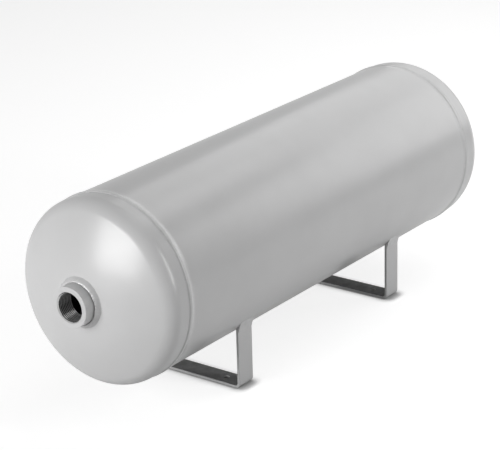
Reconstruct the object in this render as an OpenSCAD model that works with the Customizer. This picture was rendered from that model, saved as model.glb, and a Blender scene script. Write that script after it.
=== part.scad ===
// Horizontal compressed air tank, about 20 litres: a welded steel shell with two dished heads, a threaded
// socket in the middle of each head, a drain socket underneath, and two feet bent from flat bar.
// X runs along the tank and Z points up. The origin is on the floor, under the middle of the tank.

/* [Vessel] */
// Outer diameter of the shell and of the heads' rims
tank_d = 206; // [190:1:230]
// Thickness of the shell's sheet
shell_wall = 2.5; // [2:0.1:4]
// Distance between the tangent lines, where the two heads start to curve
tangent_length = 584; // [480:1:900]
// Height of the tank's axis above the floor
axis_height = 145; // [135:1:180]

/* [Heads] */
// Thickness of the heads' sheet
head_wall = 2.5; // [2:0.1:4]
// Outer radius of the dished crown
crown_r = 206; // [180:1:240]
// Outer radius of the knuckle between the crown and the rim
knuckle_r = 20.6; // [15:0.1:30]
// Straight rim, from the tangent line to the joggle
rim_length = 11.5; // [5:0.5:20]
// Length over which the joggle steps the rim down to the skirt
joggle_length = 3; // [2.5:0.5:6]
// How far the skirt reaches into the shell, past the shell's end
skirt_length = 12; // [6:1:25]
// Gap between the skirt and the inside of the shell
skirt_clearance = 0.15; // [0.05:0.05:0.4]

/* [End sockets] */
// Outer diameter of an end socket
socket_d = 45; // [42:0.5:52]
// Full length of an end socket
socket_length = 22; // [20:0.5:36]
// How far an end socket stands out from the top of the head
socket_projection = 15; // [10:0.5:16]
// Core diameter of the one inch pipe thread
socket_bore_d = 30.291; // [28:0.001:33]
// Diameter of the countersink at the mouth
socket_mouth_d = 34; // [33.2:0.1:38]
// Gap all round between a socket and its hole in the sheet
socket_clearance = 0.15; // [0.05:0.05:0.4]

/* [Drain socket] */
// Outer diameter of the drain socket
drain_d = 24; // [22:0.5:30]
// Full length of the drain socket
drain_length = 14; // [13:0.5:20]
// How far the drain socket stands out below the shell
drain_projection = 8; // [6:0.5:9]
// Core diameter of the three eighths pipe thread
drain_bore_d = 14.95; // [12:0.01:16]
// Diameter of the countersink at the drain's mouth
drain_mouth_d = 17.4; // [16.6:0.1:19]

/* [Feet] */
// Distance between the middles of the two feet
foot_spacing = 300; // [200:1:420]
// Overall width of a foot, across the tank
foot_width = 150; // [120:1:160]
// Width of the flat bar
bar_width = 25; // [20:1:40]
// Thickness of the flat bar
bar_t = 3; // [2.5:0.5:5]
// Inner radius of the two bends
bend_r = 3; // [1.5:0.5:8]
// Distance between the two bolt holes of a foot
hole_spacing = 95; // [70:1:104]
// Diameter of the bolt holes
hole_d = 7; // [5:0.1:11]
// Gap between the inner edge of a leg's end and the shell
leg_root_gap = 0.2; // [0.1:0.1:0.5]

/* [Weld beads] */
// Width of the bead round each joint of shell and head
girth_bead_width = 11; // [8:0.5:14]
// Height of that bead above the shell
girth_bead_height = 1.3; // [0.6:0.1:2]
// How far that bead laps over the head's rim, past the joggle
girth_bead_lap = 0.8; // [0.4:0.1:1.2]
// Section radius of the bead round an end socket
socket_bead_r = 4.2; // [3.5:0.1:6]
// Section radius of the bead round the drain socket
drain_bead_r = 3; // [2.4:0.1:3.6]
// How far a socket's bead is sunk below the sheet's surface
bead_sink = 0.6; // [0.3:0.1:1]
// Length of a foot weld, along the tank
foot_bead_length = 24; // [14:1:25]
// How far a foot weld reaches down the outside of the leg
foot_bead_drop = 5; // [3:0.5:8]
// How far a foot weld reaches outwards on the shell
foot_bead_reach = 4.5; // [2.5:0.5:7]
// Thickness of a foot weld at its lower edge
foot_bead_toe = 0.7; // [0.4:0.1:1.2]
// Width of the shell's lengthwise seam bead
seam_width = 7; // [5:0.5:10]
// Height of the seam bead above the shell
seam_height = 1; // [0.8:0.1:1.6]
// Angle of the seam above the horizontal, on the left side
seam_angle = 20; // [-10:1:60]

/* [Hidden] */
$fn = 288;
// Margin by which a cutting solid passes the solid that it cuts
over = 1;
paint = [0.71, 0.72, 0.73];
bead_paint = [0.67, 0.68, 0.69];

tank_r = tank_d / 2;
shell_inner_r = tank_r - shell_wall;
skirt_r = shell_inner_r - skirt_clearance;

// Places along the axis, from the middle of the tank outwards
tangent_x = tangent_length / 2;
joggle_x = tangent_x - rim_length;
shell_end_x = joggle_x - joggle_length;
skirt_end_x = shell_end_x - skirt_length;
bead_outer_x = joggle_x + girth_bead_lap;
bead_inner_x = bead_outer_x - girth_bead_width;

// The crown and the knuckle touch where the line between their centres passes
knuckle_center_r = tank_r - knuckle_r;
crown_center_x = tangent_x - sqrt(pow(crown_r - knuckle_r, 2) - pow(knuckle_center_r, 2));
join_share = knuckle_center_r / (crown_r - knuckle_r);
apex_x = crown_center_x + crown_r;

// The joggle's slope, and how far the curved bodies reach back under the rim
joggle_angle = atan2(tank_r - skirt_r, joggle_length);
rim_lap = rim_length / 2;

// Where the two kinds of socket stand, and where they meet the sheet's outer surface
socket_face_x = apex_x + socket_projection;
socket_hole_r = socket_d / 2 + socket_clearance;
drain_face_z = axis_height - tank_r - drain_projection;
drain_hole_r = drain_d / 2 + socket_clearance;
socket_seat_x = crown_center_x + sqrt(pow(crown_r, 2) - pow(socket_d / 2, 2));
drain_seat_z = axis_height - sqrt(pow(tank_r, 2) - pow(drain_d / 2, 2));

// The legs end where the inner edge of the bar meets the shell
foot_half = foot_width / 2;
leg_inner_y = foot_half - bar_t;
leg_top_z = axis_height - sqrt(pow(tank_r, 2) - pow(leg_inner_y, 2)) - leg_root_gap;
weld_top_y = foot_half + foot_bead_reach;
weld_top_z = axis_height - sqrt(pow(tank_r, 2) - pow(weld_top_y, 2));

// Lays a body that stands on the Z axis along the tank's axis, towards the rear
module along_tank_axis() {
    translate([0, 0, axis_height]) rotate([0, 90, 0]) children();
}

// Puts a body of the rear end at the front or the rear end of the tank
module at_end(end) {
    mirror([end == "front" ? 1 : 0, 0, 0]) children();
}

// A solid cylinder along the tank's axis
module tank_cylinder(radius, half_length) {
    translate([-half_length, 0, axis_height]) rotate([0, 90, 0])
        cylinder(r = radius, h = 2 * half_length);
}

// The body inside a head's outline: crown, knuckle, rim, joggle and skirt, moved inwards by a depth
module head_body(depth) {
    shift = depth * tan(joggle_angle / 2);
    intersection() {
        translate([0, 0, crown_center_x]) sphere(r = crown_r - depth);
        translate([0, 0, tangent_x - rim_lap]) cylinder(r = (crown_r - depth) * join_share, h = crown_r);
    }
    intersection() {
        translate([0, 0, tangent_x]) rotate_extrude() translate([knuckle_center_r, 0])
            circle(r = knuckle_r - depth);
        translate([0, 0, tangent_x - rim_lap]) cylinder(r = tank_r, h = crown_r);
    }
    rotate_extrude() polygon([
        [0, tangent_x],
        [tank_r - depth, tangent_x],
        [tank_r - depth, joggle_x + shift],
        [skirt_r - depth, shell_end_x + shift],
        [skirt_r - depth, skirt_end_x],
        [0, skirt_end_x]
    ]);
}

// A pressed head: crown, knuckle, rim and skirt in one sheet, with a hole for its socket
module head(end) {
    color(paint) at_end(end) along_tank_axis() difference() {
        head_body(0);
        head_body(head_wall);
        cylinder(r = socket_hole_r, h = apex_x + over);
    }
}

// The rolled shell, open at both ends, with the drain's hole at its lowest line
module shell() {
    color(paint) difference() {
        tank_cylinder(tank_r, shell_end_x);
        tank_cylinder(shell_inner_r, shell_end_x + over);
        cylinder(r = drain_hole_r, h = axis_height);
    }
}

// A turned socket with a countersunk mouth at its upper end
module socket(outer_d, bore_d, mouth_d, length) {
    countersink = (mouth_d - bore_d) / 2;
    rotate_extrude() polygon([
        [bore_d / 2, 0],
        [outer_d / 2, 0],
        [outer_d / 2, length],
        [mouth_d / 2, length],
        [bore_d / 2, length - countersink]
    ]);
}

module port_socket(end) {
    color(paint) at_end(end) along_tank_axis() translate([0, 0, socket_face_x - socket_length])
        socket(socket_d, socket_bore_d, socket_mouth_d, socket_length);
}

module drain_socket() {
    color(paint) translate([0, 0, drain_face_z + drain_length]) mirror([0, 0, 1])
        socket(drain_d, drain_bore_d, drain_mouth_d, drain_length);
}

// The bead fills the groove over the joggle and stands proud of the shell in a low arch
module girth_bead_section() {
    half = girth_bead_width / 2;
    arch_r = (pow(half, 2) + pow(girth_bead_height, 2)) / (2 * girth_bead_height);
    intersection() {
        translate([tank_r + girth_bead_height - arch_r, bead_inner_x + half]) circle(r = arch_r);
        translate([tank_r, bead_inner_x]) square([girth_bead_height + over, girth_bead_width]);
    }
    polygon([
        [tank_r, shell_end_x],
        [tank_r, joggle_x],
        [skirt_r, shell_end_x]
    ]);
}

module girth_weld(end) {
    color(bead_paint) at_end(end) along_tank_axis() rotate_extrude() girth_bead_section();
}

// A round bead in the corner between a head and its socket
module socket_weld(end) {
    color(bead_paint) at_end(end) along_tank_axis() difference() {
        translate([0, 0, socket_seat_x - bead_sink]) rotate_extrude()
            translate([(socket_d + socket_bead_r) / 2, 0]) circle(r = socket_bead_r);
        head_body(0);
        cylinder(r = socket_d / 2, h = socket_face_x);
    }
}

// The drain's bead lies in the corner between the drain socket and the round shell
module drain_socket_weld() {
    color(bead_paint) difference() {
        translate([0, 0, drain_seat_z + bead_sink]) rotate_extrude()
            translate([(drain_d + drain_bead_r) / 2, 0]) circle(r = drain_bead_r);
        tank_cylinder(tank_r, shell_end_x);
        cylinder(r = drain_d / 2, h = axis_height);
    }
}

// A low bead along the shell, from one girth bead to the other
module shell_seam_weld() {
    arch_r = (pow(seam_width / 2, 2) + pow(seam_height, 2)) / (2 * seam_height);
    color(bead_paint) difference() {
        translate([0, 0, axis_height]) rotate([seam_angle, 0, 0])
            translate([-bead_inner_x, tank_r + seam_height - arch_r, 0])
            rotate([0, 90, 0]) cylinder(r = arch_r, h = 2 * bead_inner_x);
        tank_cylinder(tank_r, tangent_x);
    }
}

// Outline of a bar bent to a U: a band with two rounded lower corners
module bent_outline(half, corner_r, top) {
    translate([-half, corner_r]) square([2 * half, top - corner_r]);
    translate([corner_r - half, 0]) square([2 * (half - corner_r), corner_r]);
    for (side = [-1, 1]) translate([side * (half - corner_r), corner_r]) circle(r = corner_r);
}

// Stands a profile of width and height across the tank, and gives it a length along the tank
module across_tank(middle_x, length) {
    translate([middle_x - length / 2, 0, 0]) rotate([90, 0, 90]) linear_extrude(length) children();
}

// One foot: a flat bar bent to a U, with two bolt holes in its floor
module foot(middle_x) {
    color(paint) difference() {
        across_tank(middle_x, bar_width) difference() {
            bent_outline(foot_half, bend_r + bar_t, leg_top_z);
            translate([0, bar_t]) bent_outline(leg_inner_y, bend_r, leg_top_z);
        }
        for (side = [-1, 1]) translate([middle_x, side * hole_spacing / 2, -over])
            cylinder(d = hole_d, h = bar_t + 2 * over);
    }
}

// The weld on the outside of one leg: it closes the notch over the bar's end and runs out on the shell.
// Left and right are as seen from the front end, looking along the tank.
module foot_weld(middle_x, side) {
    color(bead_paint) mirror([0, side == "right" ? 1 : 0, 0]) difference() {
        across_tank(middle_x, foot_bead_length) polygon([
            [leg_inner_y, leg_top_z],
            [foot_half, leg_top_z],
            [foot_half, leg_top_z - foot_bead_drop],
            [foot_half + foot_bead_toe, leg_top_z - foot_bead_drop],
            [weld_top_y, weld_top_z],
            [leg_inner_y, weld_top_z]
        ]);
        tank_cylinder(tank_r, shell_end_x);
    }
}

shell();
head("front");  // front_head
head("rear");  // rear_head
port_socket("front");  // front_port_socket
port_socket("rear");  // rear_port_socket
drain_socket();
girth_weld("front");  // front_girth_weld
girth_weld("rear");  // rear_girth_weld
shell_seam_weld();
socket_weld("front");  // front_socket_weld
socket_weld("rear");  // rear_socket_weld
drain_socket_weld();
foot(-foot_spacing / 2);  // front_foot
foot(foot_spacing / 2);  // rear_foot
foot_weld(-foot_spacing / 2, "left");  // front_foot_left_weld
foot_weld(-foot_spacing / 2, "right");  // front_foot_right_weld
foot_weld(foot_spacing / 2, "left");  // rear_foot_left_weld
foot_weld(foot_spacing / 2, "right");  // rear_foot_right_weld
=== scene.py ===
import math

import bmesh
import bpy
from bpy.props import FloatProperty, FloatVectorProperty, IntProperty, PointerProperty
from bpy.types import Operator, Panel, PropertyGroup
from mathutils import Matrix, Vector, noise


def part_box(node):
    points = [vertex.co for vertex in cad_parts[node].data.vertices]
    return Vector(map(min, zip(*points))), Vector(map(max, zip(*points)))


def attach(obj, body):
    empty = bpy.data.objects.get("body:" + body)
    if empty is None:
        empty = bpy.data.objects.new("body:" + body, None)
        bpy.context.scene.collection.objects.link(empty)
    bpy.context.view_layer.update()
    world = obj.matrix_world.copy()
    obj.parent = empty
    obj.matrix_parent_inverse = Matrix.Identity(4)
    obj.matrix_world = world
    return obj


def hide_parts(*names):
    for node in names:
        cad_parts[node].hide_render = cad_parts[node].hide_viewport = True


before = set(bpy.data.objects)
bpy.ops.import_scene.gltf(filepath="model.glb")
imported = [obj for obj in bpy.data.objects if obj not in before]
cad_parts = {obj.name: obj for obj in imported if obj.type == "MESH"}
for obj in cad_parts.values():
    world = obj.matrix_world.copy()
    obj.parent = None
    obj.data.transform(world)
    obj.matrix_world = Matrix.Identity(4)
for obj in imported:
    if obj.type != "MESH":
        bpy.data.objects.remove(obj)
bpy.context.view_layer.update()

bl_info = {
    "name": "Compressed Air Tank",
    "version": (1, 0, 0),
    "blender": (4, 5, 0),
    "location": "View3D > Sidebar > Air Tank",
    "description": "A welded, painted steel air tank on two flat bar feet",
    "category": "Object",
}

AXIS_HEIGHT = (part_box("shell")[0].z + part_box("shell")[1].z) / 2
TURN = 2 * math.pi
ENDS = {"front": -1, "rear": 1}
SIDES = {"left": 1, "right": -1}
# Points that lie closer than this are joined
MERGE_DISTANCE = 1e-5


def length(name, description, value, smallest=0.0):
    """A size in metres that a user can change."""
    return FloatProperty(
        name=name, description=description, default=value, min=smallest, precision=5, unit="LENGTH",
    )


def share(name, description, value, low=0.0, high=1.0):
    """A plain number that a user can change."""
    return FloatProperty(name=name, description=description, default=value, min=low, max=high, precision=3)


def turn(name, description, degrees):
    """An angle that a user can change."""
    return FloatProperty(name=name, description=description, default=math.radians(degrees), subtype="ANGLE")


def colour(name, description, value):
    """A colour that a user can change."""
    return FloatVectorProperty(
        name=name, description=description, default=value, size=3, min=0, max=1, subtype="COLOR",
    )


class TankVesselSettings(PropertyGroup):
    """Sizes of the shell and of the two heads."""

    radius: length("Radius", "Outer radius of the shell", 0.103)
    wall: length("Wall", "Thickness of the sheet", 0.0025)
    shell_end: length("End of the shell", "Distance from the middle to the shell's end", 0.2775)
    joggle: length("Joggle", "Distance from the middle to where the rim steps down", 0.2805)
    tangent: length("Tangent", "Distance from the middle to where the knuckle starts", 0.292)
    skirt_end: length("Skirt end", "Distance from the middle to the end of the skirt", 0.2655)
    skirt_radius: length("Skirt radius", "Outer radius of the skirt inside the shell", 0.10035)
    crown_radius: length("Radius of the crown", "Outer radius of the dished crown", 0.206)
    knuckle_radius: length("Knuckle radius", "Outer radius of the knuckle", 0.0206)
    steps: IntProperty(name="Steps", description="Faces round the tank", default=320, min=48)


class TankSocketSettings(PropertyGroup):
    """Sizes of the end sockets and of the drain socket."""

    radius: length("Radius", "Outer radius of an end socket", 0.0225)
    projection: length("Projection", "How far an end socket stands out from the crown", 0.015)
    length: length("Length", "Full length of an end socket", 0.022)
    core: length("Core", "Core radius of the end thread", 0.0151455)
    groove: length("Groove", "Radius at the bottom of the end thread", 0.0166245)
    mouth: length("Mouth", "Radius of the countersink at the end socket's mouth", 0.017)
    pitch: length("Pitch", "Pitch of the end thread", 0.0023091, 0.0005)
    hole_gap: length("Hole gap", "Clearance between a socket and its hole", 0.00015)
    drain_radius: length("Drain radius", "Outer radius of the drain socket", 0.012)
    drain_face: length("Drain face", "Height of the drain socket's mouth above the floor", 0.034)
    drain_length: length("Drain length", "Full length of the drain socket", 0.014)
    drain_core: length("Drain core", "Core radius of the drain thread", 0.007475)
    drain_groove: length("Drain groove", "Radius at the bottom of the drain thread", 0.008331)
    drain_mouth: length("Drain mouth", "Radius of the countersink at the drain's mouth", 0.0087)
    drain_pitch: length("Drain pitch", "Pitch of the drain thread", 0.001337, 0.0005)
    edge: length("Edge", "Radius of the turned edges", 0.0005)


class TankWeldSettings(PropertyGroup):
    """Sizes of the weld beads."""

    girth_inner: length("Girth inner edge", "From the middle to the bead's edge on the shell", 0.2703)
    girth_outer: length("Girth outer edge", "From the middle to the bead's edge on the head", 0.2813)
    girth_height: length("Girth height", "Height of the girth bead above the shell", 0.0013)
    socket_bead: length("Socket bead", "Section radius of the bead round an end socket", 0.0042)
    drain_bead: length("Drain bead", "Section radius of the bead round the drain socket", 0.003)
    bead_sink: length("Bead sink", "How far a round bead is sunk below the sheet", 0.0006)
    seam_width: length("Seam width", "Width of the lengthwise bead", 0.007)
    seam_height: length("Seam height", "Height of the lengthwise bead", 0.001)
    seam_angle: turn("Seam angle", "Angle of the lengthwise bead above the horizontal", 20.0)
    foot_length: length("Foot weld length", "Length of a foot weld along the tank", 0.024)
    foot_drop: length("Foot weld drop", "How far a foot weld reaches down the leg", 0.005)
    foot_reach: length("Foot weld reach", "How far a foot weld reaches out on the shell", 0.0045)
    ripple_pitch: length("Ripple pitch", "Distance from one ripple to the next", 0.003, 0.001)
    ripple_depth: length("Ripple depth", "Depth of the ripples", 0.00004)


class TankFootSettings(PropertyGroup):
    """Sizes of the two feet."""

    spacing: length("Spacing", "Distance between the middles of the feet", 0.3)
    width: length("Width", "Overall width of a foot", 0.15)
    bar: length("Bar width", "Width of the flat bar", 0.025)
    thickness: length("Thickness", "Thickness of the flat bar", 0.003)
    bend: length("Bend", "Inner radius of the bends", 0.003)
    root_gap: length("Root gap", "Clearance between a leg's end and the shell", 0.0002)
    hole_spacing: length("Hole spacing", "Distance between the holes of a foot", 0.095)
    hole: length("Hole", "Diameter of a hole", 0.007)
    edge: length("Edge", "Radius of the bar's edges", 0.00035)


class TankFinishSettings(PropertyGroup):
    """Colours and finish of the paint and of the bare threads, with the painted shade in the threads and on
    the feet's inner faces.
    """

    paint: colour("Paint", "Colour of the silver paint", (0.61, 0.61, 0.612))
    paint_dark: colour("Paint, darker", "The darker of the paint's two tones", (0.585, 0.585, 0.587))
    bead: colour("Bead", "Colour of the paint on the weld beads", (0.605, 0.605, 0.607))
    bead_dark: colour("Bead, darker", "Colour in the hollows of the beads", (0.55, 0.55, 0.552))
    # Painted shade: the crests' steel is darker than bare steel, standing for the shade inside the bores
    thread: colour("Thread", "Colour of the bare crests of the threads", (0.14, 0.14, 0.14))
    countersink: colour("Countersink", "Colour of the bare countersinks", (0.5, 0.5, 0.5))
    # Painted shade: near black in the roots of the threads, where shade falls deep in the bore
    root: colour("Thread root", "Colour in the roots of the threads", (0.012, 0.012, 0.012))
    # Painted shade: a dark, matt colour on the feet's inner faces, standing for the deep shade under the tank
    inner_face_shade: colour("Thin coat", "Colour of the thin paint on the feet's inner faces", (0.26, 0.26, 0.26))
    roughness: share("Roughness", "Roughness of the paint", 0.31)
    sheen_level: share("Reflection", "How strongly the paint reflects", 0.5)
    coat: share("Gloss", "Strength of the clear gloss over the paint", 0.2)
    metallic: share("Metallic", "How metallic the paint looks", 0.0)
    peel: share("Orange peel", "Strength of the paint's fine waviness", 0.10)


class TankStageSettings(PropertyGroup):
    """Camera, floor and lamps."""

    azimuth: turn("Azimuth", "The camera's angle round the tank", -53.39)
    elevation: turn("Elevation", "The camera's angle above the horizon", 20.49)
    roll: turn("Roll", "The camera's turn about its own line of sight", -1.51)
    distance: length("Distance", "Distance from the camera to the middle of the tank", 2.21591)
    aim_right: length("Aim right", "How far right of the picture's middle the tank lies", 0.02034, -1.0)
    aim_up: length("Aim up", "How far above the picture's middle the tank lies", 0.01849, -1.0)
    lens: FloatProperty(name="Lens", description="Focal length in millimetres", default=138.35, min=20)
    floor: colour("Floor", "Colour of the floor", (0.5, 0.5, 0.5))
    surround: share("Surround", "Strength of the light from all round", 0.0, 0.0, 3.0)
    backdrop: share("Backdrop", "Brightness of the plain backdrop above the floor", 0.75)
    floor_glow: share("Floor glow", "How far the floor is lifted towards white where it is seen", 0.75)


def settings(context, group):
    """One group of the tank's sizes or colours."""
    return getattr(context.scene, "tank_" + group)


# Shaping


def outline_of(bm, points):
    """Draws a closed outline and returns its vertices and edges."""
    verts = [bm.verts.new(point) for point in points]
    edges = [bm.edges.new(pair) for pair in zip(verts, verts[1:] + verts[:1])]
    return verts + edges


def doubled(bm, matrix, move):
    """Adds a turned and moved copy of a body to itself and joins the two."""
    made = bmesh.ops.duplicate(bm, geom=bm.verts[:] + bm.edges[:] + bm.faces[:])["geom"]
    copied = [item for item in made if isinstance(item, bmesh.types.BMVert)]
    bmesh.ops.rotate(bm, verts=copied, cent=(0, 0, AXIS_HEIGHT), matrix=matrix)
    bmesh.ops.translate(bm, verts=copied, vec=move)
    bmesh.ops.remove_doubles(bm, verts=bm.verts, dist=MERGE_DISTANCE)


def turned(points, steps):
    """Turns an outline of (along, radius) points about the tank's axis: an eighth, doubled three times."""
    bm = bmesh.new()
    geom = outline_of(bm, [(along, 0, AXIS_HEIGHT + radius) for along, radius in points])
    bmesh.ops.spin(
        bm, geom=geom, cent=(0, 0, AXIS_HEIGHT), axis=(1, 0, 0), dvec=(0, 0, 0),
        angle=TURN / 8, steps=steps // 8, use_merge=False, use_duplicate=False,
    )
    for part in (8, 4, 2):
        doubled(bm, Matrix.Rotation(TURN / part, 3, "X"), (0, 0, 0))
    return bm


def turned_upright(points, steps):
    """Turns an outline of (height, radius) points about the drain's upright axis."""
    bm = bmesh.new()
    geom = outline_of(bm, [(radius, 0, height) for height, radius in points])
    bmesh.ops.spin(
        bm, geom=geom, cent=(0, 0, 0), axis=(0, 0, 1), dvec=(0, 0, 0),
        angle=TURN, steps=steps, use_merge=True, use_duplicate=False,
    )
    return bm


def drawn_along(points, start, end, steps):
    """Draws an outline of (across, height) points along the tank and closes its ends."""
    bm = bmesh.new()
    geom = outline_of(bm, [(start, across, height) for across, height in points])
    bmesh.ops.spin(
        bm, geom=geom, cent=(0, 0, 0), axis=(1, 0, 0), dvec=((end - start) / steps, 0, 0),
        angle=0, steps=steps // 4, use_merge=False, use_duplicate=False,
    )
    for part in (4, 2):
        doubled(bm, Matrix.Identity(3), ((end - start) / part, 0, 0))
    for place in (start, end):
        rim = [e for e in bm.edges if all(abs(vert.co.x - place) < MERGE_DISTANCE for vert in e.verts)]
        bmesh.ops.contextual_create(bm, geom=rim)
    return bm


def arc(centre, radius, start, end, steps):
    """Points of an arc in a plane, angles in degrees."""
    angles = [math.radians(start + (end - start) * step / steps) for step in range(steps + 1)]
    return [(centre[0] + radius * math.cos(a), centre[1] + radius * math.sin(a)) for a in angles]


def round_the_axis(co):
    """Angle and radius of a point about the tank's axis."""
    return math.atan2(co.z - AXIS_HEIGHT, co.y), math.hypot(co.y, co.z - AXIS_HEIGHT)


def set_radius(co, radius):
    """Moves a point towards or away from the tank's axis."""
    angle, _ = round_the_axis(co)
    co.y = radius * math.cos(angle)
    co.z = AXIS_HEIGHT + radius * math.sin(angle)


def unevenness(a, b, c, size):
    """A smooth chance value between -1 and 1 that is the same on every run."""
    return noise.noise(Vector((a, b, c)) / size)


def placed(name, data):
    """A new object that holds some data, linked to the scene."""
    made = bpy.data.objects.new(name, data)
    bpy.context.scene.collection.objects.link(made)
    return made


def as_piece(bm, name, material, nodes, crease):
    """Makes a piece from a bmesh. It rides on the tank and stands for its CAD nodes."""
    bmesh.ops.recalc_face_normals(bm, faces=bm.faces)
    mesh = bpy.data.meshes.new(name)
    bm.to_mesh(mesh)
    bm.free()
    mesh.shade_smooth()
    mesh.set_sharp_from_angle(angle=math.radians(crease))
    mesh.materials.append(material)
    piece = placed(name, mesh)
    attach(piece, "root")
    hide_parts(*nodes)
    return piece


def cut(piece, cutter_bm):
    """Cuts a closed body out of a piece."""
    cutter_mesh = bpy.data.meshes.new("cutter")
    cutter_bm.to_mesh(cutter_mesh)
    cutter_bm.free()
    cutter = placed("cutter", cutter_mesh)
    modifier = piece.modifiers.new("cut", "BOOLEAN")
    modifier.solver = "EXACT"
    modifier.operation = "DIFFERENCE"
    modifier.object = cutter
    evaluated = piece.evaluated_get(bpy.context.evaluated_depsgraph_get())
    mesh = bpy.data.meshes.new_from_object(evaluated)
    piece.modifiers.clear()
    old = piece.data
    piece.data = mesh
    mesh.name = piece.name
    bpy.data.meshes.remove(old)
    bpy.data.objects.remove(cutter)
    bpy.data.meshes.remove(cutter_mesh)


# Finishes


def fed(node, values):
    """Sets the plain values of a node's inputs and returns the node."""
    for name, value in values.items():
        node.inputs[name].default_value = value
    return node


def made_once(make):
    """Makes a material on its first use, and finds it by its name after that."""
    def find(context, name, *values):
        return bpy.data.materials.get(name) or make(context, name, *values)

    return find


def shader_of(name, colour_value, roughness, metallic):
    """A fresh material with its nodes, links and shader."""
    material = bpy.data.materials.new(name)
    material.use_nodes = True
    nodes, links = material.node_tree.nodes, material.node_tree.links
    looks = {"Base Color": (*colour_value, 1), "Roughness": roughness, "Metallic": metallic}
    shader = fed(nodes["Principled BSDF"], looks)
    return material, nodes, links, shader


def noise_at(nodes, links, scale, detail):
    """A noise pattern on the object's own coordinates."""
    place = nodes.new("ShaderNodeTexCoord")
    pattern = fed(nodes.new("ShaderNodeTexNoise"), {"Scale": scale, "Detail": detail})
    links.new(place.outputs["Object"], pattern.inputs["Vector"])
    return pattern.outputs["Fac"]


def tones(nodes, links, factor, dark, light, low=0.35, high=0.65):
    """Turns a pattern into a change between two colours."""
    ramp = nodes.new("ShaderNodeValToRGB")
    ramp.color_ramp.elements[0].position = low
    ramp.color_ramp.elements[0].color = (*dark, 1)
    ramp.color_ramp.elements[1].position = high
    ramp.color_ramp.elements[1].color = (*light, 1)
    links.new(factor, ramp.inputs["Fac"])
    return ramp.outputs["Color"]


def bumped(nodes, links, factor, strength, distance, before=None):
    """A bump from a pattern, laid over an earlier bump."""
    bump = fed(nodes.new("ShaderNodeBump"), {"Strength": strength, "Distance": distance})
    links.new(factor, bump.inputs["Height"])
    if before is not None:
        links.new(before, bump.inputs["Normal"])
    return bump.outputs["Normal"]


def spread(nodes, links, factor, low, high):
    """Maps a pattern onto a range of values."""
    node = fed(nodes.new("ShaderNodeMapRange"), {"To Min": low, "To Max": high})
    links.new(factor, node.inputs["Value"])
    return node.outputs["Result"]


def painted(name, base, finish, gloss, haze):
    """A fresh paint under a clear gloss, whose roughness is its haze, with nodes, links and shader."""
    made = shader_of(name, base, finish.roughness, finish.metallic)
    fed(made[3], {"Specular IOR Level": finish.sheen_level, "Coat Weight": gloss, "Coat Roughness": haze})
    return made


@made_once
def silver_paint(context, name):
    """Satin silver paint: two close tones, fine orange peel and long, faint waves of the sheet."""
    finish = settings(context, "finish")
    material, nodes, links, shader = painted(name, finish.paint, finish, finish.coat, haze=0.21)
    cloud = noise_at(nodes, links, scale=14, detail=4)
    links.new(tones(nodes, links, cloud, finish.paint_dark, finish.paint), shader.inputs["Base Color"])
    streak = noise_at(nodes, links, scale=60, detail=2)
    change = 0.04
    rough = spread(nodes, links, streak, finish.roughness - change, finish.roughness + change)
    links.new(rough, shader.inputs["Roughness"])
    wave = noise_at(nodes, links, scale=16, detail=1)
    wavy = bumped(nodes, links, wave, strength=0.12, distance=0.001)
    peel = noise_at(nodes, links, scale=700, detail=2)
    peeled = bumped(nodes, links, peel, strength=finish.peel, distance=0.0002, before=wavy)
    links.new(peeled, shader.inputs["Normal"])
    return material


@made_once
def bead_paint(context, name):
    """The same paint over a weld bead: glossier where it runs thick, and mottled at random with a darker
    tone.
    """
    finish = settings(context, "finish")
    gloss = 3 * finish.coat
    material, nodes, links, shader = painted(name, finish.bead, finish, gloss, haze=0.18)
    cloud = noise_at(nodes, links, scale=260, detail=3)
    shades = tones(nodes, links, cloud, finish.bead_dark, finish.bead, low=0.2, high=0.55)
    links.new(shades, shader.inputs["Base Color"])
    grit = noise_at(nodes, links, scale=900, detail=3)
    links.new(bumped(nodes, links, grit, strength=0.2, distance=0.0002), shader.inputs["Normal"])
    return material


@made_once
def inner_face_shade(context, name):
    """Painted shade: a dark, matt paint on the feet's inner faces that stands for the deep shade under the
    tank.
    """
    finish = settings(context, "finish")
    material, nodes, links, shader = shader_of(name, finish.inner_face_shade, roughness=0.7, metallic=0.0)
    fed(shader, {"Specular IOR Level": 0.2})
    # The painted shade, mottled at random between two tones
    cloud = noise_at(nodes, links, scale=90, detail=4)
    darker = tuple(value * 0.75 for value in finish.inner_face_shade)
    links.new(tones(nodes, links, cloud, darker, finish.inner_face_shade), shader.inputs["Base Color"])
    dust = noise_at(nodes, links, scale=1500, detail=2)
    links.new(bumped(nodes, links, dust, strength=0.3, distance=0.0001), shader.inputs["Normal"])
    return material


# Bare steel's roughness and how metallic it looks
STEEL_ROUGHNESS = 0.3
STEEL_METALLIC = 0.9


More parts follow.
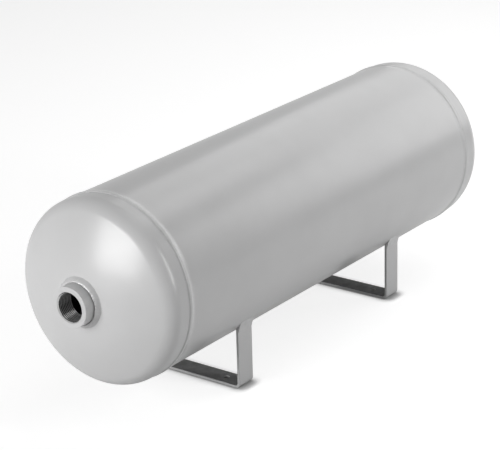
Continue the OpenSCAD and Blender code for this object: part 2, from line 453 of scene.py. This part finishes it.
@made_once
def thread_steel(context, name, across, centre, bore):
    """Steel of a cut thread round a line, darker than bare steel as painted shade in the bore: lightest on
    the crests and near black as painted shade in the roots.
    """
    finish = settings(context, "finish")
    core, groove = bore[:2]
    material, nodes, links, shader = shader_of(name, finish.thread, STEEL_ROUGHNESS, STEEL_METALLIC)
    place = nodes.new("ShaderNodeTexCoord")
    flat = nodes.new("ShaderNodeVectorMath")
    flat.operation = "MULTIPLY"
    fed(flat, {1: across})
    links.new(place.outputs["Object"], flat.inputs[0])
    radius = nodes.new("ShaderNodeVectorMath")
    radius.operation = "DISTANCE"
    fed(radius, {1: centre})
    links.new(flat.outputs["Vector"], radius.inputs[0])
    depth = fed(nodes.new("ShaderNodeMapRange"), {"From Min": core, "From Max": groove})
    links.new(radius.outputs["Value"], depth.inputs["Value"])
    # Painted shade: darker from the crests down into the roots
    shades = tones(nodes, links, depth.outputs["Result"], finish.thread, finish.root, low=0.08, high=0.5)
    links.new(shades, shader.inputs["Base Color"])
    smear = noise_at(nodes, links, scale=180, detail=3)
    links.new(spread(nodes, links, smear, low=0.22, high=0.42), shader.inputs["Roughness"])
    return material


@made_once
def countersink_steel(context, name):
    """Bright turned steel of a countersink."""
    steel = settings(context, "finish").countersink
    return shader_of(name, steel, STEEL_ROUGHNESS, STEEL_METALLIC)[0]


# The pieces


class TankStep:
    """What the tank's operators share."""

    bl_options = {"REGISTER", "UNDO"}


def steel_piece(context, body, name, node, crease=35):
    """Makes a piece of painted steel from a bmesh."""
    return as_piece(body, name, silver_paint(context, "satin_silver"), [node], crease)


def drill(place, diameter, depth, segments):
    """An upright cylinder that cuts a round hole."""
    bm = bmesh.new()
    bmesh.ops.create_cone(
        bm, cap_ends=True, segments=segments, depth=depth, radius1=diameter / 2, radius2=diameter / 2,
        matrix=Matrix.Translation(place),
    )
    return bm


class TANK_OT_make_shell(TankStep, Operator):
    """Rolls the shell and drills the hole of the drain socket"""

    bl_idname = "tank.make_shell"
    bl_label = "Rolled shell"

    def execute(self, context):
        vessel, sockets = settings(context, "vessel"), settings(context, "sockets")
        outer, inner, end = vessel.radius, vessel.radius - vessel.wall, vessel.shell_end
        outline = [(-end, outer), (end, outer), (end, inner), (-end, inner)]
        shell = steel_piece(context, turned(outline, vessel.steps), "tank_shell", "shell")
        hole = 2 * (sockets.drain_radius + sockets.hole_gap)
        cut(shell, drill((0, 0, AXIS_HEIGHT - outer), diameter=hole, depth=0.04, segments=64))
        return {"FINISHED"}


def crown_centre(vessel):
    """Distances from the middle of the tank to the crown's centre and from the axis to the knuckle's."""
    knuckle_y = vessel.radius - vessel.knuckle_radius
    reach = vessel.crown_radius - vessel.knuckle_radius
    return vessel.tangent - math.sqrt(reach**2 - knuckle_y**2), knuckle_y


def head_outline(vessel, hole_radius):
    """Section of a pressed head from its hole to the skirt and back inside, for the rear end."""
    crown_x, knuckle_y = crown_centre(vessel)
    join = math.degrees(math.asin(knuckle_y / (vessel.crown_radius - vessel.knuckle_radius)))
    # How far the inside of the joggle lies behind its outside, as a share of the wall
    slant = 0.36

    def sheet(depth, steps):
        crown = vessel.crown_radius - depth
        hole = math.degrees(math.asin(hole_radius / crown))
        shift = depth * slant
        points = arc((crown_x, 0), crown, hole, join, steps)
        points += arc((vessel.tangent, knuckle_y), vessel.knuckle_radius - depth, join, 90, steps)[1:]
        points += [(vessel.joggle + shift, vessel.radius - depth)]
        points += [(vessel.shell_end + shift, vessel.skirt_radius - depth)]
        points += [(vessel.skirt_end, vessel.skirt_radius - depth)]
        return points

    return sheet(0, steps=26) + sheet(vessel.wall, steps=16)[::-1]


class TANK_OT_make_heads(TankStep, Operator):
    """Presses the two dished heads"""

    bl_idname = "tank.make_heads"
    bl_label = "Heads"

    def execute(self, context):
        vessel, sockets = settings(context, "vessel"), settings(context, "sockets")
        outline = head_outline(vessel, sockets.radius + sockets.hole_gap)
        for end, sign in ENDS.items():
            body = turned([(sign * along, radius) for along, radius in outline], vessel.steps)
            steel_piece(context, body, f"{end}_dished_head", f"{end}_head", crease=25)
        return {"FINISHED"}


def thread_depth(along, angle, pitch, depth):
    """Depth of a cut thread: flat crests, straight flanks and round roots."""
    crest, flank, straight = 0.12, 0.76, 0.85
    phase = (along / pitch - angle / TURN) % 1.0
    down = min(max((1 - abs(phase * 2 - 1) - crest) / flank, 0.0), 1.0)
    if down < straight:
        return depth * down
    rounded = 1 - straight
    return depth * (straight + rounded * math.sin((down - straight) / rounded * math.pi / 2))


def bore_of(sockets, start=""):
    """A threaded bore's core, groove and mouth radius, its length and its pitch."""
    return [getattr(sockets, start + size) for size in ("core", "groove", "mouth", "length", "pitch")]


def socket_outline(outer, bore, edge, rows):
    """Section of a turned socket, root at 0 and mouth at its full length, with a fine grid in the bore."""
    core, _, mouth, full, pitch = bore
    count = int(full / pitch * rows)
    wall = [(full * step / count, core) for step in range(count)]
    rim = arc((full - edge, outer - edge), edge, start=90, end=0, steps=4)
    return wall + [(full, core), (full, mouth), *rim[::-1], (0, outer)]


def cut_thread(bm, place, bore):
    """Gives the bore's points with their new radii, where place says (along, angle, radius) of a point."""
    core, groove, mouth, full, pitch = bore
    root_chamfer, chamfer_reach, nearly = 0.0002, 0.0012, 1e-4
    points = []
    for vert in bm.verts:
        along, angle, radius = place(vert.co)
        if abs(radius - core) < nearly:
            cone = mouth - (full - along)
            root = groove + root_chamfer - along if along < chamfer_reach else 0
            depth = core + thread_depth(along, angle, pitch, groove - core)
            points.append((vert, max(depth, cone, root)))
    return points


def steel_in_bore(context, piece, steel, place, bore):
    """Gives the thread the finish of cut steel with its painted shade, and the countersink that of bright
    steel.
    """
    _, _, mouth, full, _ = bore
    nearly, edge = 5e-5, 0.0003
    piece.data.materials.append(steel)
    piece.data.materials.append(countersink_steel(context, "countersink_steel"))
    for face in piece.data.polygons:
        spots = [place(piece.data.vertices[index].co) for index in face.vertices]
        if all(abs(radius - (mouth - (full - along))) < nearly for along, _, radius in spots):
            face.material_index = 2
        elif all(radius < mouth - edge for _, _, radius in spots):
            face.material_index = 1


class TANK_OT_make_end_sockets(TankStep, Operator):
    """Turns the two end sockets and cuts their threads"""

    bl_idname = "tank.make_end_sockets"
    bl_label = "End sockets"

    def execute(self, context):
        vessel, sockets = settings(context, "vessel"), settings(context, "sockets")
        bore = bore_of(sockets)
        face = crown_centre(vessel)[0] + vessel.crown_radius + sockets.projection
        root = face - sockets.length
        outline = socket_outline(sockets.radius, bore, sockets.edge, rows=10)
        for end, sign in ENDS.items():
            body = turned([(sign * (root + along), radius) for along, radius in outline], steps=200)

            def place(co):
                angle, radius = round_the_axis(co)
                return sign * co.x - root, sign * angle, radius

            for vert, radius in cut_thread(body, place, bore):
                set_radius(vert.co, radius)
            piece = steel_piece(context, body, f"{end}_socket", f"{end}_port_socket", crease=32)
            steel = thread_steel(context, "thread_steel", (0, 1, 1), (0, 0, AXIS_HEIGHT), bore)
            steel_in_bore(context, piece, steel, place, bore)
        return {"FINISHED"}


class TANK_OT_make_drain_socket(TankStep, Operator):
    """Turns the drain socket and cuts its thread"""

    bl_idname = "tank.make_drain_socket"
    bl_label = "Drain socket"

    def execute(self, context):
        sockets = settings(context, "sockets")
        bore = bore_of(sockets, "drain_")
        top = sockets.drain_face + sockets.drain_length
        outline = socket_outline(sockets.drain_radius, bore, sockets.edge, rows=9)
        body = turned_upright([(top - along, radius) for along, radius in outline], steps=140)

        def place(co):
            return top - co.z, math.atan2(co.y, co.x), math.hypot(co.x, co.y)

        for vert, radius in cut_thread(body, place, bore):
            scale = radius / math.hypot(vert.co.x, vert.co.y)
            vert.co.x *= scale
            vert.co.y *= scale
        piece = steel_piece(context, body, "drain_boss", "drain_socket", crease=32)
        steel = thread_steel(context, "drain_thread_steel", (1, 1, 0), (0, 0, 0), bore)
        steel_in_bore(context, piece, steel, place, bore)
        return {"FINISHED"}


# The weld beads

# Points of a bead's grid to one ripple
POINTS_PER_RIPPLE = 4
# Height of a girth bead across its width, as shares of both, from the shell's side to the crevice at the head
GIRTH_SECTION = (
    (0.0, 0.0), (0.05, 0.05), (0.2, 0.1), (0.29, 0.2), (0.36, 0.42), (0.42, 0.7), (0.49, 0.9), (0.57, 1.0),
    (0.66, 0.96), (0.72, 0.87), (0.765, 0.75), (0.79, 0.6), (0.81, 0.4), (0.83, 0.15), (0.85, -0.03),
    (0.9, -0.12), (0.905, -0.6),
)
# Height of an end socket's bead above the crown, as shares, from the barrel to the soft outer edge
SOCKET_BEAD_SECTION = (
    (0.0, 0.42), (0.05, 0.7), (0.11, 0.9), (0.19, 1.0), (0.29, 0.99), (0.39, 0.93), (0.49, 0.83),
    (0.59, 0.7), (0.69, 0.54), (0.79, 0.35), (0.88, 0.18), (0.95, 0.06), (1.0, -0.02),
)


def lumps(angle, count, seed):
    """Slow lumps round a ring, more of them with a higher count."""
    return unevenness(math.cos(angle) * count, math.sin(angle) * count, seed, 1.0)


def bead_piece(context, body, name, node, crease=40):
    """Makes a painted weld bead from a bmesh."""
    return as_piece(body, name, bead_paint(context, "satin_over_bead"), [node], crease)


class TANK_OT_make_girth_welds(TankStep, Operator):
    """Lays the bead round each joint of shell and head"""

    bl_idname = "tank.make_girth_welds"
    bl_label = "Girth welds"

    def execute(self, context):
        vessel, welds = settings(context, "vessel"), settings(context, "welds")
        width = welds.girth_outer - welds.girth_inner
        outline = [
            (welds.girth_inner + width * across, vessel.radius + welds.girth_height * height)
            for across, height in GIRTH_SECTION
        ]
        outline += [(welds.girth_inner, outline[-1][1])]
        ripples = 2 * round(math.pi * vessel.radius / welds.ripple_pitch)
        for end, sign in ENDS.items():
            section = [(sign * along, radius) for along, radius in outline]
            body = turned(section, ripples * POINTS_PER_RIPPLE)
            for vert in body.verts:
                self.lay(vert.co, sign, ripples, width, vessel, welds)
            bead_piece(context, body, f"{end}_girth_bead", f"{end}_girth_weld")
        return {"FINISHED"}

    def lay(self, co, sign, ripples, width, vessel, welds):
        """Moves a point of the bead for its ripples, its swelling and its wandering edges."""
        lowest, full_ripple, wander = 0.00005, 0.0006, 0.0003
        mean, swell, bow, drift = 0.9, 0.07, 1.3, 0.25
        angle, radius = round_the_axis(co)
        height = radius - vessel.radius
        if height < lowest:
            return
        across = (sign * co.x - welds.girth_inner) / width
        spot = math.cos(angle) * vessel.radius, math.sin(angle) * vessel.radius
        turns = ripples * angle / TURN + bow * (across - 0.5) ** 2 + drift * unevenness(*spot, sign, 0.02)
        ripple = math.cos(TURN * turns) * welds.ripple_depth * math.sin(math.pi * across)
        size = mean + swell * unevenness(*spot, 3 * sign, 0.012)
        set_radius(co, vessel.radius + height * size + ripple * min(height / full_ripple, 1.0))
        co.x += sign * wander * unevenness(*spot, 7 * sign, 0.006) * (across - 0.5) * 2


class TANK_OT_make_seam_weld(TankStep, Operator):
    """Lays the lengthwise bead of the rolled shell"""

    bl_idname = "tank.make_seam_weld"
    bl_label = "Lengthwise seam"

    def execute(self, context):
        vessel, welds = settings(context, "vessel"), settings(context, "welds")
        half = welds.seam_width / 2
        points, fullness, sink = 12, 0.7, 0.0006
        bow, swell, wander = 1.1, 0.12, 0.0003
        across = [half * (2 * step / points - 1) for step in range(points + 1)]
        section = [(y, welds.seam_height * (1 - (y / half) ** 2) ** fullness) for y in across]
        section += [(half, -sink), (-half, -sink)]
        steps = int(2 * welds.girth_inner / welds.ripple_pitch) * POINTS_PER_RIPPLE
        body = drawn_along(section, -welds.girth_inner, welds.girth_inner, steps)
        for vert in body.verts:
            along, side, height = vert.co
            if height > 0:
                turns = along / welds.ripple_pitch - bow * (side / half) ** 2
                height += welds.ripple_depth * math.cos(TURN * turns) * (1 - (side / half) ** 2)
                height *= 1 + swell * unevenness(along, 0, 5, 0.01)
                side += wander * unevenness(along, 1, 5, 0.008)
            angle = welds.seam_angle + side / vessel.radius
            vert.co.y = (vessel.radius + height) * math.cos(angle)
            vert.co.z = AXIS_HEIGHT + (vessel.radius + height) * math.sin(angle)
        bead_piece(context, body, "shell_seam_bead", "shell_seam_weld")
        return {"FINISHED"}


class TANK_OT_make_socket_welds(TankStep, Operator):
    """Lays the round beads of the two end sockets and of the drain socket"""

    bl_idname = "tank.make_socket_welds"
    bl_label = "Socket welds"

    def execute(self, context):
        vessel, sockets, welds = (settings(context, group) for group in ("vessel", "sockets", "welds"))
        self.end_beads(context, vessel, sockets, welds)
        self.drain_bead(context, vessel, sockets, welds)
        return {"FINISHED"}

    def end_beads(self, context, vessel, sockets, welds):
        # How far the bead reaches along the crown and how high it stands at the barrel
        reach, tall = welds.socket_bead * 1.43, welds.socket_bead * 0.97
        into_barrel, below_crown, root_reach, lowest = 0.0001, 0.0012, 0.7, -0.0002
        ripples, ripple_points, ripple_depth, ripple_lean = 48, 9, 0.00005, 3
        lumpiness, fine_lumps, wander, wander_from = 0.24, 0.5, 0.0006, 0.1
        crown_x, barrel = crown_centre(vessel)[0], sockets.radius

        def crown_at(radius):
            return crown_x + math.sqrt(vessel.crown_radius**2 - radius**2)

        outline = []
        for across, height in SOCKET_BEAD_SECTION:
            radius = barrel + reach * across
            outline.append((crown_at(radius) + tall * height, radius - into_barrel))
        root = crown_at(barrel) - below_crown
        outline += [(root, barrel + reach * root_reach), (root, barrel - into_barrel)]
        for end, sign in ENDS.items():
            body = turned([(sign * along, radius) for along, radius in outline], ripples * ripple_points)
            for vert in body.verts:
                angle, radius = round_the_axis(vert.co)
                up = sign * vert.co.x - crown_at(radius)
                if up < lowest:
                    continue
                across = (radius - barrel) / reach
                lump = lumps(angle, 3, 2 * sign) + fine_lumps * lumps(angle, 9, 5 * sign)
                ripple = ripple_depth * math.cos(ripples * angle + ripple_lean * across)
                ripple *= math.sin(math.pi * min(max(across, 0), 1))
                vert.co.x += sign * (up * lumpiness * lump + ripple)
                if across > wander_from:
                    set_radius(vert.co, radius + wander * lump * across)
            bead_piece(context, body, f"{end}_socket_bead", f"{end}_socket_weld")

    def drain_bead(self, context, vessel, sockets, welds):
        ripples, ripple_points, ripple_depth, lumpiness, lowest = 40, 6, 0.00004, 0.0003, 0.0005
        seat = AXIS_HEIGHT - math.sqrt(vessel.radius**2 - sockets.drain_radius**2) + welds.bead_sink
        middle = sockets.drain_radius + welds.drain_bead / 2
        ring = arc((0, middle), welds.drain_bead, start=0, end=360, steps=28)[:-1]
        body = turned_upright([(seat - down, radius) for down, radius in ring], ripples * ripple_points)
        for vert in body.verts:
            if seat - vert.co.z > lowest:
                angle = math.atan2(vert.co.y, vert.co.x)
                vert.co.z -= ripple_depth * math.cos(ripples * angle) + lumpiness * lumps(angle, 3, 9)
        bead_piece(context, body, "drain_bead", "drain_socket_weld")


# The feet


def leg_top(context):
    """Height at which the legs end, just under the shell."""
    vessel, feet = settings(context, "vessel"), settings(context, "feet")
    inner = feet.width / 2 - feet.thickness
    return AXIS_HEIGHT - math.sqrt(vessel.radius**2 - inner**2) - feet.root_gap


class TANK_OT_make_feet(TankStep, Operator):
    """Bends the two feet from flat bar and drills their holes"""

    bl_idname = "tank.make_feet"
    bl_label = "Feet"

    def execute(self, context):
        feet = settings(context, "feet")
        for end, sign in ENDS.items():
            middle = sign * feet.spacing / 2
            body = self.bent_bar(feet, middle, leg_top(context))
            foot = steel_piece(context, body, f"{end}_bar_foot", f"{end}_foot", crease=40)
            for side in (-1, 1):
                place = (middle, side * feet.hole_spacing / 2, feet.thickness / 2)
                cut(foot, drill(place, diameter=feet.hole, depth=0.02, segments=48))
            # Painted shade on the feet's inner faces, under the tank
            self.coat(context, feet, foot)
            edges = foot.modifiers.new("edges", "BEVEL")
            edges.width = feet.edge
            edges.segments = 3
            edges.limit_method = "ANGLE"
            edges.angle_limit = math.radians(40)
            edges.harden_normals = True
        return {"FINISHED"}

    def bent_bar(self, feet, middle, top):
        """Draws the bar from the end of one leg down, along the floor and up to the end of the other."""
        half, thickness, bar = feet.width / 2, feet.thickness, feet.bar / 2
        corner = feet.bend + thickness
        body = bmesh.new()
        geom = outline_of(body, [
            (middle - bar, -half, top), (middle + bar, -half, top),
            (middle + bar, -half + thickness, top), (middle - bar, -half + thickness, top),
        ])

        def of_kind(items, kind):
            return [item for item in items if isinstance(item, kind)]

        def push(edges, move):
            made = bmesh.ops.extrude_edge_only(body, edges=edges)["geom"]
            verts = of_kind(made, bmesh.types.BMVert)
            bmesh.ops.translate(body, verts=verts, vec=move)
            return [e for e in of_kind(made, bmesh.types.BMEdge) if all(v in verts for v in e.verts)]

        def bend(edges, side):
            verts = list({vert for edge in edges for vert in edge.verts})
            made = bmesh.ops.spin(
                body, geom=verts + edges, cent=(middle, side * (half - corner), corner), axis=(1, 0, 0),
                dvec=(0, 0, 0), angle=math.pi / 2, steps=10, use_merge=False, use_duplicate=False,
            )
            return of_kind(made["geom_last"], bmesh.types.BMEdge)

        first = of_kind(geom, bmesh.types.BMEdge)
        loop = push(first, (0, 0, corner - top))
        loop = bend(loop, -1)
        loop = push(loop, (0, 2 * (half - corner), 0))
        loop = bend(loop, 1)
        loop = push(loop, (0, 0, top - corner))
        bmesh.ops.contextual_create(body, geom=first)
        bmesh.ops.contextual_create(body, geom=loop)
        bmesh.ops.remove_doubles(body, verts=body.verts, dist=MERGE_DISTANCE / 10)
        return body

    def coat(self, context, feet, foot):
        """Gives the faces that look inwards, and those that look up near the floor, the painted shade of the
        space under the tank.
        """
        foot.data.materials.append(inner_face_shade(context, "thin_dry_coat"))
        for face in foot.data.polygons:
            in_shade = face.normal.z > 0.7 and face.center.z < 2 * feet.thickness
            in_shade = in_shade or (face.normal.y * face.center.y < 0 and abs(face.normal.x) < 0.1)
            if in_shade and abs(face.center.y) < feet.width / 2 - 0.5 * feet.thickness:
                face.material_index = 1


class TANK_OT_make_foot_welds(TankStep, Operator):
    """Lays the bead on the outside of each leg"""

    bl_idname = "tank.make_foot_welds"
    bl_label = "Foot welds"

    def execute(self, context):
        feet, welds = settings(context, "feet"), settings(context, "welds")
        top, half = leg_top(context), feet.width / 2
        section = self.section(context, feet, welds, top)
        # The line along the tank that the bead's face swells from
        core = (half + 0.0006, top - 0.0005)
        for end, sign in ENDS.items():
            for side_name, side in SIDES.items():
                middle = sign * feet.spacing / 2
                start, stop = middle - welds.foot_length / 2, middle + welds.foot_length / 2
                body = drawn_along([(side * y, z) for y, z in section], start, stop, steps=60)
                for vert in body.verts:
                    self.lay(vert.co, core, side, abs(vert.co.x - middle), sign + 3 * side, welds)
                name = f"{end}_foot_{side_name}"
                bead_piece(context, body, f"{name}_bead", f"{name}_weld", crease=45)
        return {"FINISHED"}

    def section(self, context, feet, welds, top):
        """Section of a bead: a hollow face from the leg's toe up to the crest on the shell, and its root."""
        vessel, half = settings(context, "vessel"), feet.width / 2
        hollow, points, into_leg, above_leg = 0.0003, 12, 0.0003, 0.0007
        back, raised = 0.0005, 0.0008
        toe = (half, top - welds.foot_drop)
        crest_y = half + welds.foot_reach
        crest = (crest_y, AXIS_HEIGHT - math.sqrt(vessel.radius**2 - crest_y**2))
        chord = Vector((crest[0] - toe[0], crest[1] - toe[1]))
        away = Vector((chord.y, -chord.x)).normalized()
        section = []
        for step in range(points + 1):
            up = step / points
            bulge = -hollow * math.sin(math.pi * up)
            section.append((toe[0] + chord.x * up + away.x * bulge, toe[1] + chord.y * up + away.y * bulge))
        inner = half - feet.thickness
        section += [(crest[0] - back, crest[1] + raised), (inner, top + above_leg), (inner, top)]
        return section + [(half - into_leg, top), (half - into_leg, toe[1])]

    def lay(self, co, core, side, from_middle, seed, welds):
        """Moves a point of the bead for its ripples and its falling ends."""
        ripple_depth, ripple_lean, wander = 0.00003, 300, 0.00025
        full_until, fade_depth, least_rise = 0.9, 0.4, 0.4
        out, rise = side * co.y - core[0], co.z - core[1]
        if out <= 0:
            return
        past = max(from_middle / (welds.foot_length / 2) - full_until, 0) / (1 - full_until)
        fade = math.sqrt(max(1 - past**2 * fade_depth, 0))
        wave = ripple_depth * math.cos(TURN * co.x / welds.ripple_pitch + rise * ripple_lean)
        wave += wander * unevenness(co.x, rise, seed, 0.007)
        co.y = side * (core[0] + out * fade + wave)
        co.z = core[1] + rise * (least_rise + (1 - least_rise) * fade)


# The stage

# Where the lamps look
LAMP_AIM = (0, 0, 0.12)
# Name, place, width, height and watts of each lamp
LAMPS = (
    ("lamp_front", (-2.25, 0.42, 0.66), 1.1, 1.1, 38),
    ("lamp_strip", (0.42, -2.05, 1.0), 0.36, 1.5, 14.5),
    ("lamp_side", (0.5, -2.2, 0.55), 1.5, 1.2, 4),
    ("lamp_end", (1.2, -0.6, 0.7), 0.8, 0.8, 4),
    ("lamp_over", (0.45, -0.2, 1.5), 1.0, 1.0, 4),
    ("lamp_far", (1.5, 0.35, 1.3), 1.4, 1.2, 6),
)


def lamp(name, place, width, height, power):
    """A soft rectangular lamp that looks at the tank."""
    light = bpy.data.lights.new(name, "AREA")
    light.shape = "RECTANGLE"
    light.size, light.size_y, light.energy = width, height, power
    piece = placed(name, light)
    piece.location = place
    piece.rotation_euler = (Vector(LAMP_AIM) - Vector(place)).to_track_quat("-Z", "Y").to_euler()


def maths(nodes, links, operation, *values):
    """A math node fed by sockets and plain numbers."""
    node = nodes.new("ShaderNodeMath")
    node.operation = operation
    for socket, value in zip(node.inputs, values):
        if isinstance(value, bpy.types.NodeSocket):
            links.new(value, socket)
        else:
            socket.default_value = value
    return node.outputs["Value"]


def openness(nodes, reach):
    """1 where nothing stands within reach of a point of the floor, less near the tank."""
    return fed(nodes.new("ShaderNodeAmbientOcclusion"), {"Distance": reach}).outputs["AO"]


def seen_or_soft(nodes, links, soft, seen, target):
    """Feeds a socket with one shader for soft light, and another where camera, mirror or glass looks."""
    path = nodes.new("ShaderNodeLightPath").outputs
    direct = maths(nodes, links, "MAXIMUM", path["Is Camera Ray"], path["Is Glossy Ray"])
    mix = nodes.new("ShaderNodeMixShader")
    links.new(maths(nodes, links, "MAXIMUM", direct, path["Is Transmission Ray"]), mix.inputs["Fac"])
    links.new(soft, mix.inputs[1])
    links.new(seen, mix.inputs[2])
    links.new(mix.outputs["Shader"], target)


class TANK_OT_make_stage(TankStep, Operator):
    """Sets the camera, the floor, the lamps and the surround"""

    bl_idname = "tank.make_stage"
    bl_label = "Stage"

    def execute(self, context):
        stage = settings(context, "stage")
        self.camera(context, stage)
        self.floor(context, stage)
        for values in LAMPS:
            lamp(*values)
        self.surround(context, stage)
        context.scene.view_settings.view_transform = "Standard"
        return {"FINISHED"}

    def camera(self, context, stage):
        flat = math.cos(stage.elevation)
        back = Vector((
            math.sin(stage.azimuth) * flat, -math.cos(stage.azimuth) * flat, math.sin(stage.elevation),
        ))
        level = Vector((0, 0, 1)).cross(back).normalized()
        upright = back.cross(level)
        right = level * math.cos(stage.roll) + upright * math.sin(stage.roll)
        up = upright * math.cos(stage.roll) - level * math.sin(stage.roll)
        aim = Vector((0, 0, AXIS_HEIGHT)) - right * stage.aim_right - up * stage.aim_up
        place = aim + back * stage.distance
        data = bpy.data.cameras.new("camera")
        data.sensor_width, data.lens = 36.0, stage.lens
        data.clip_start, data.clip_end = 0.05, 50.0
        camera = placed("camera", data)
        camera.matrix_world = Matrix.Translation(place) @ Matrix((right, up, back)).transposed().to_4x4()
        context.scene.camera = camera

    def floor(self, context, stage):
        material, nodes, links, shader = shader_of("pale_floor", stage.floor, roughness=0.8, metallic=0.0)
        fed(shader, {"Specular IOR Level": 0.1})
        grain = noise_at(nodes, links, scale=3, detail=2)
        darker = tuple(value * 0.99 for value in stage.floor)
        links.new(tones(nodes, links, grain, darker, stage.floor), shader.inputs["Base Color"])
        # A narrow painted contact shadow round what stands on the floor, and in reflections a wider painted
        # shade below the tank
        rim = maths(nodes, links, "POWER", openness(nodes, reach=0.012), 5.0)
        mirrored = nodes.new("ShaderNodeLightPath").outputs["Is Glossy Ray"]
        shade = maths(nodes, links, "POWER", openness(nodes, reach=0.13), mirrored)
        lit = maths(nodes, links, "MULTIPLY", rim, shade)
        glow = nodes.new("ShaderNodeEmission")
        links.new(maths(nodes, links, "MULTIPLY", lit, stage.floor_glow), glow.inputs["Strength"])
        unlit = fed(nodes.new("ShaderNodeEmission"), {"Strength": 0.0})
        total = nodes.new("ShaderNodeAddShader")
        links.new(shader.outputs["BSDF"], total.inputs[0])
        seen_or_soft(nodes, links, unlit.outputs["Emission"], glow.outputs["Emission"], total.inputs[1])
        links.new(total.outputs["Shader"], nodes["Material Output"].inputs["Surface"])
        body = bmesh.new()
        bmesh.ops.create_grid(body, x_segments=8, y_segments=8, size=6.0)
        mesh = bpy.data.meshes.new("floor")
        body.to_mesh(mesh)
        body.free()
        mesh.materials.append(material)
        placed("floor", mesh)

    def surround(self, context, stage):
        world = bpy.data.worlds.new("surround")
        world.use_nodes = True
        nodes, links = world.node_tree.nodes, world.node_tree.links
        soft, seen = nodes["Background"], nodes.new("ShaderNodeBackground")
        for light, strength in ((soft, stage.surround), (seen, stage.backdrop)):
            fed(light, {"Color": (1, 1, 1, 1), "Strength": strength})
        surface = nodes["World Output"].inputs["Surface"]
        seen_or_soft(nodes, links, soft.outputs["Background"], seen.outputs["Background"], surface)
        context.scene.world = world


OPERATORS = (
    TANK_OT_make_stage,
    TANK_OT_make_shell,
    TANK_OT_make_heads,
    TANK_OT_make_end_sockets,
    TANK_OT_make_drain_socket,
    TANK_OT_make_girth_welds,
    TANK_OT_make_seam_weld,
    TANK_OT_make_socket_welds,
    TANK_OT_make_feet,
    TANK_OT_make_foot_welds,
)

GROUPS = {
    "vessel": TankVesselSettings,
    "sockets": TankSocketSettings,
    "welds": TankWeldSettings,
    "feet": TankFootSettings,
    "finish": TankFinishSettings,
    "stage": TankStageSettings,
}


class TANK_PT_panel(Panel):
    """Lists the sizes and the steps of the tank"""

    bl_label = "Air Tank"
    bl_idname = "TANK_PT_panel"
    bl_space_type = "VIEW_3D"
    bl_region_type = "UI"
    bl_category = "Air Tank"

    def draw(self, context):
        layout = self.layout
        for operator in OPERATORS:
            layout.operator(operator.bl_idname)
        for name, group in GROUPS.items():
            box = layout.box()
            box.label(text=name.capitalize())
            for key in group.__annotations__:
                box.prop(settings(context, name), key)


def register():
    for cls in (*GROUPS.values(), *OPERATORS, TANK_PT_panel):
        bpy.utils.register_class(cls)
    for name, group in GROUPS.items():
        setattr(bpy.types.Scene, "tank_" + name, PointerProperty(type=group))


def unregister():
    for name in GROUPS:
        delattr(bpy.types.Scene, "tank_" + name)
    for cls in (TANK_PT_panel, *reversed(OPERATORS), *reversed(GROUPS.values())):
        bpy.utils.unregister_class(cls)


def main():
    register()
    for operator in OPERATORS:
        group, name = operator.bl_idname.split(".")
        getattr(getattr(bpy.ops, group), name)()


if __name__ == "__main__":
    main()
